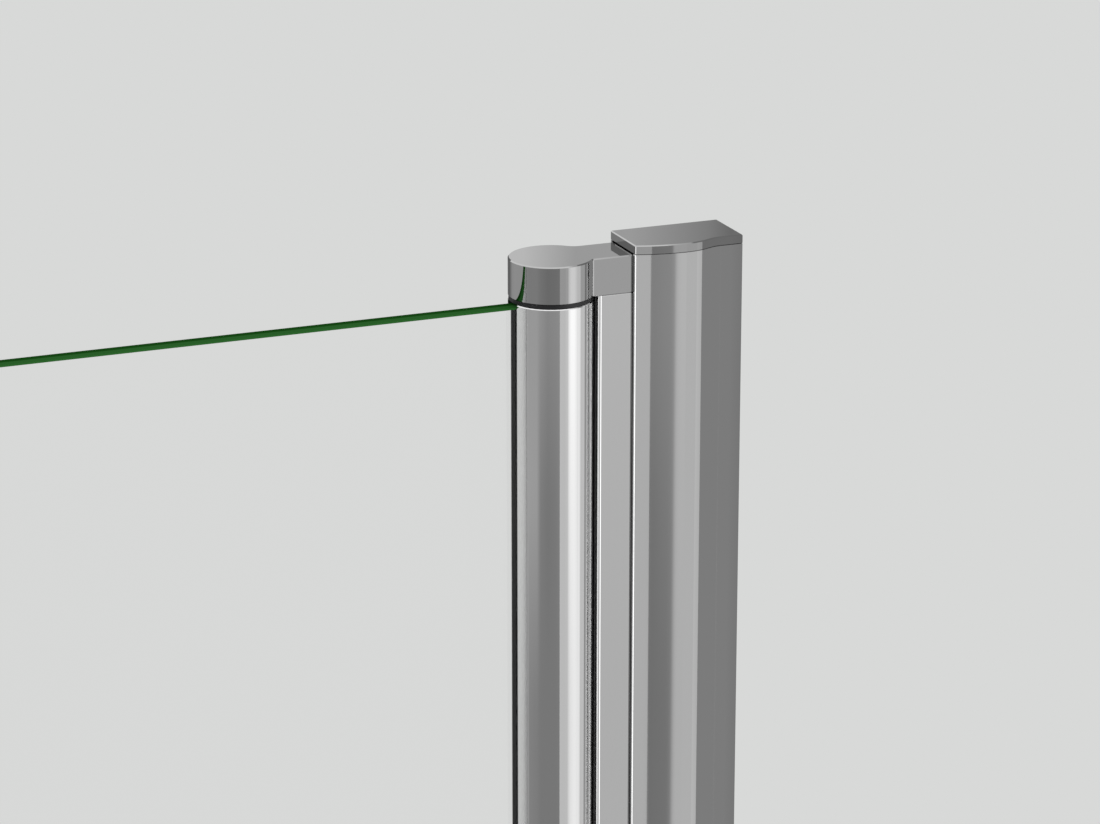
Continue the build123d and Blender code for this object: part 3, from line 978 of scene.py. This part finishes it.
def build_world(studio):
    """A plain pale surround for the eye, and soft tall bands for what metal mirrors."""
    world = bpy.data.worlds.new("studio")
    world.use_nodes = True
    tree = world.node_tree
    tree.nodes.clear()
    place = add_node(tree, "ShaderNodeTexCoord")
    way = add_node(tree, "ShaderNodeSeparateXYZ", links={0: place.outputs["Generated"]})
    outward = add_node(
        tree,
        "ShaderNodeMath",
        settings={"operation": "MULTIPLY"},
        values={1: -1.0},
        links={0: way.outputs["Y"]},
    )
    bearing = add_node(
        tree,
        "ShaderNodeMath",
        settings={"operation": "ARCTAN2"},
        links={0: way.outputs["X"], 1: outward.outputs[0]},
    )
    degrees = add_node(
        tree,
        "ShaderNodeMath",
        settings={"operation": "DEGREES"},
        links={0: bearing.outputs[0]},
    )
    height = add_node(
        tree,
        "ShaderNodeMath",
        settings={"operation": "ARCSINE"},
        links={0: way.outputs["Z"]},
    )
    elevation = add_node(
        tree,
        "ShaderNodeMath",
        settings={"operation": "DEGREES"},
        links={0: height.outputs[0]},
    )
    levels = [
        tone_ramp(tree, degrees.outputs[0], -180, 180, [(row[0], row[level]) for row in studio_bands])
        for level in (1, 2, 3)
    ]
    seen_bands = levels[0]
    for level in (1, 2):
        lower = add_node(
            tree,
            "ShaderNodeMapRange",
            values={"From Min": band_heights[level - 1], "From Max": band_heights[level]},
            links={"Value": elevation.outputs[0]},
        )
        seen_bands = blend_colours(tree, lower.outputs[0], seen_bands, levels[level])
    overhead = tone_ramp(tree, elevation.outputs[0], -90, 90, overhead_tones)
    shaded = add_node(
        tree,
        "ShaderNodeMix",
        settings={"data_type": "RGBA", "blend_type": "MULTIPLY"},
        values={0: 1.0},
        links={6: seen_bands, 7: overhead},
    )
    soft_box = add_node(
        tree,
        "ShaderNodeMapRange",
        values={"From Min": soft_box_low, "From Max": soft_box_high},
        links={"Value": elevation.outputs[0]},
    )
    lifted = add_node(
        tree,
        "ShaderNodeMix",
        settings={"data_type": "RGBA"},
        values={7: (soft_box_tone, soft_box_tone, soft_box_tone, 1.0)},
        links={0: soft_box.outputs[0], 6: shaded.outputs[2]},
    )
    mirrored = add_node(
        tree,
        "ShaderNodeBackground",
        values={"Strength": studio.bands},
        links={"Color": lifted.outputs[2]},
    )
    soft = add_node(
        tree,
        "ShaderNodeBackground",
        values={"Color": (1, 1, 1, 1), "Strength": studio.ambient},
    )
    seen = add_node(
        tree,
        "ShaderNodeBackground",
        values={"Color": linear(studio.backdrop), "Strength": 1.0},
    )
    path = add_node(tree, "ShaderNodeLightPath")
    lit = add_node(
        tree,
        "ShaderNodeMixShader",
        links={0: path.outputs["Is Glossy Ray"], 1: soft.outputs[0], 2: mirrored.outputs[0]},
    )
    straight = add_node(
        tree,
        "ShaderNodeMath",
        settings={"operation": "MAXIMUM"},
        links={0: path.outputs["Is Camera Ray"], 1: path.outputs["Is Transmission Ray"]},
    )
    shown = add_node(
        tree,
        "ShaderNodeMixShader",
        links={0: straight.outputs[0], 1: lit.outputs[0], 2: seen.outputs[0]},
    )
    add_node(tree, "ShaderNodeOutputWorld", links={"Surface": shown.outputs[0]})
    bpy.context.scene.world = world


def add_card(name, corners, shader_maker):
    """A flat card that only mirrors show, with a one-sided glow that shader_maker gives it."""
    mesh = bpy.data.meshes.new(name)
    mesh.from_pydata(corners, [], [(0, 1, 2, 3)])
    card = bpy.data.objects.new(name, mesh)
    bpy.context.scene.collection.objects.link(card)
    material, tree = new_material(name.replace("_", " "))
    glow = shader_maker(tree)
    clear = add_node(tree, "ShaderNodeBsdfTransparent")
    side = add_node(tree, "ShaderNodeNewGeometry")
    one_sided = add_node(
        tree,
        "ShaderNodeMixShader",
        links={0: side.outputs["Backfacing"], 1: glow.outputs[0], 2: clear.outputs[0]},
    )
    finish_material(tree, one_sided)
    mesh.materials.append(material)
    card.visible_camera = False
    card.visible_diffuse = False
    card.visible_shadow = False
    card.visible_transmission = False


def side_card(x, front, back, top, towards):
    """The corners of an upright card across the door's depth, facing -X (-1) or +X (1)."""
    corners = [(x, front, 0), (x, front, top), (x, back, top), (x, back, 0)]
    return corners if towards < 0 else corners[::-1]


def build_cards(studio):
    """A tall flag on the hinge side and four narrower cards, which only mirrors show."""
    top = cad_high.z
    flag_x = cad_high.x + 0.5 * mm
    depths = [distance * mm for distance, _ in flag_tones]

    def flag_glow(tree):
        place = add_node(tree, "ShaderNodeTexCoord")
        way = add_node(tree, "ShaderNodeSeparateXYZ", links={0: place.outputs["Object"]})
        stops = [(distance * mm, tone) for distance, tone in flag_tones]
        tone = tone_ramp(tree, way.outputs["Y"], depths[0], depths[-1], stops)
        return add_node(
            tree,
            "ShaderNodeEmission",
            values={"Strength": studio.bands},
            links={"Color": tone},
        )

    def plain_glow(tone, boost=1.0):
        def glow(tree):
            values = {"Color": linear(tone), "Strength": studio.bands * boost}
            return add_node(tree, "ShaderNodeEmission", values=values)

        return glow

    flag_top = top + 200 * mm
    add_card("hinge_side_flag", side_card(flag_x, depths[0], depths[-1], flag_top, -1), flag_glow)
    flat_x, flat_front, flat_back = 446.8 * mm, -17.9 * mm, -10.0 * mm
    add_card("flat_edge_shade", side_card(flat_x, flat_front, flat_back, top, -1), plain_glow("#878787"))
    crown_x, crown_front, crown_back = 440 * mm, -31 * mm, -17 * mm
    add_card("crown_shade", side_card(crown_x, crown_front, crown_back, top, -1), plain_glow("#BEBEBE"))
    strip_y, strip_left, strip_right = -75 * mm, 393.6 * mm, 413.4 * mm
    strip = [
        (strip_right, strip_y, 0),
        (strip_left, strip_y, 0),
        (strip_left, strip_y, top),
        (strip_right, strip_y, top),
    ]
    add_card("front_edge_strip", strip, plain_glow("#BBBBBB"))
    edge_x, edge_front, edge_back, edge_top = 400 * mm, -36 * mm, -14 * mm, top + 20 * mm
    add_card("edge_light", side_card(edge_x, edge_front, edge_back, edge_top, 1), plain_glow("#FFFFFF", 2.0))


def build_floor(studio):
    """A pale disc under the door, which fades into the surround before its rim."""
    radius = 9.0
    sides = 96
    drop = 0.5 * mm
    fade_start, fade_end = 1.2, 3.2
    mesh = bpy.data.meshes.new("studio_floor")
    rim = [
        (radius * math.cos(math.tau * side / sides), radius * math.sin(math.tau * side / sides), -drop)
        for side in range(sides)
    ]
    mesh.from_pydata(rim, [], [tuple(range(sides))])
    floor = bpy.data.objects.new("studio_floor", mesh)
    bpy.context.scene.collection.objects.link(floor)
    material, tree = new_material("pale studio floor")
    place = add_node(tree, "ShaderNodeTexCoord")
    reach = add_node(
        tree,
        "ShaderNodeVectorMath",
        settings={"operation": "LENGTH"},
        links={0: place.outputs["Object"]},
    )
    fade = add_node(
        tree,
        "ShaderNodeMapRange",
        settings={"interpolation_type": "SMOOTHSTEP"},
        values={"From Min": fade_start, "From Max": fade_end},
        links={"Value": reach.outputs["Value"]},
    )
    matt = add_node(
        tree,
        "ShaderNodeBsdfPrincipled",
        values={"Base Color": linear(studio.backdrop), "Roughness": 0.9, "Specular IOR Level": 0.0},
    )
    plain = add_node(tree, "ShaderNodeEmission", values={"Color": linear(studio.backdrop)})
    mix = add_node(
        tree,
        "ShaderNodeMixShader",
        links={0: fade.outputs[0], 1: matt.outputs[0], 2: plain.outputs[0]},
    )
    finish_material(tree, mix)
    mesh.materials.append(material)
    floor.visible_glossy = False


def add_lamp(name, place, aim, size, power):
    """A soft square lamp that lights the door but isn't mirrored in it."""
    light = bpy.data.lights.new(name, "AREA")
    light.size = size
    light.energy = power
    lamp = bpy.data.objects.new(name, light)
    lamp.location = place
    lamp.rotation_euler = (Vector(aim) - Vector(place)).to_track_quat("-Z", "Y").to_euler()
    lamp.visible_glossy = False
    bpy.context.scene.collection.objects.link(lamp)


class BuildStudio(bpy.types.Operator):
    """Builds the floor, the lamps, the surround and the camera"""

    bl_idname = "shower_door.build_studio"
    bl_label = "Build the studio"

    def execute(self, context):
        studio = context.scene.door_studio
        build_world(studio)
        build_floor(studio)
        build_cards(studio)
        middle = (0.0, 0.0, cad_high.z / 2)
        for name, place, size, power in lamps:
            add_lamp(name, place, middle, size, power)
        camera_data = bpy.data.cameras.new("camera")
        camera_data.lens = studio.lens
        camera = bpy.data.objects.new("camera", camera_data)
        flat = math.cos(studio.elevation)
        away = Vector(
            (
                math.sin(studio.bearing) * flat,
                -math.cos(studio.bearing) * flat,
                math.sin(studio.elevation),
            )
        )
        camera.location = Vector(studio.aim) + away * studio.distance
        camera.rotation_euler = (-away).to_track_quat("-Z", "Y").to_euler()
        camera_data.clip_start = 0.05
        context.scene.collection.objects.link(camera)
        context.scene.camera = camera
        context.scene.view_settings.view_transform = "Standard"
        return {"FINISHED"}


class DoorPanel(bpy.types.Panel):
    """The door's settings and its steps, in the order that they run"""

    bl_idname = "VIEW3D_PT_shower_door"
    bl_label = "Shower door"
    bl_space_type = "VIEW_3D"
    bl_region_type = "UI"
    bl_category = "Shower door"

    def draw(self, context):
        scene = context.scene
        for settings in (scene.door_finishes, scene.door_sizes, scene.door_studio):
            box = self.layout.box()
            for name in settings.__annotations__:
                box.prop(settings, name)
        for step in steps:
            self.layout.operator(step.bl_idname)


steps = (
    DressProfiles,
    DressCastings,
    BuildHandles,
    BuildScrewCovers,
    DressSteel,
    DressGlass,
    DressSeals,
    BuildStudio,
)
classes = (DoorFinishes, DoorSizes, DoorStudio, *steps, DoorPanel)


def register():
    """Registers the classes and hangs the settings on the scene."""
    for each in classes:
        bpy.utils.register_class(each)
    bpy.types.Scene.door_finishes = bpy.props.PointerProperty(type=DoorFinishes)
    bpy.types.Scene.door_sizes = bpy.props.PointerProperty(type=DoorSizes)
    bpy.types.Scene.door_studio = bpy.props.PointerProperty(type=DoorStudio)


def unregister():
    """Takes the settings and the classes away again."""
    del bpy.types.Scene.door_studio
    del bpy.types.Scene.door_sizes
    del bpy.types.Scene.door_finishes
    for each in reversed(classes):
        bpy.utils.unregister_class(each)


def main():
    """Runs every step in order."""
    register()
    bpy.ops.shower_door.dress_profiles()
    bpy.ops.shower_door.dress_castings()
    bpy.ops.shower_door.build_handles()
    bpy.ops.shower_door.build_screw_covers()
    bpy.ops.shower_door.dress_steel()
    bpy.ops.shower_door.dress_glass()
    bpy.ops.shower_door.dress_seals()
    bpy.ops.shower_door.build_studio()


if __name__ == "__main__":
    main()
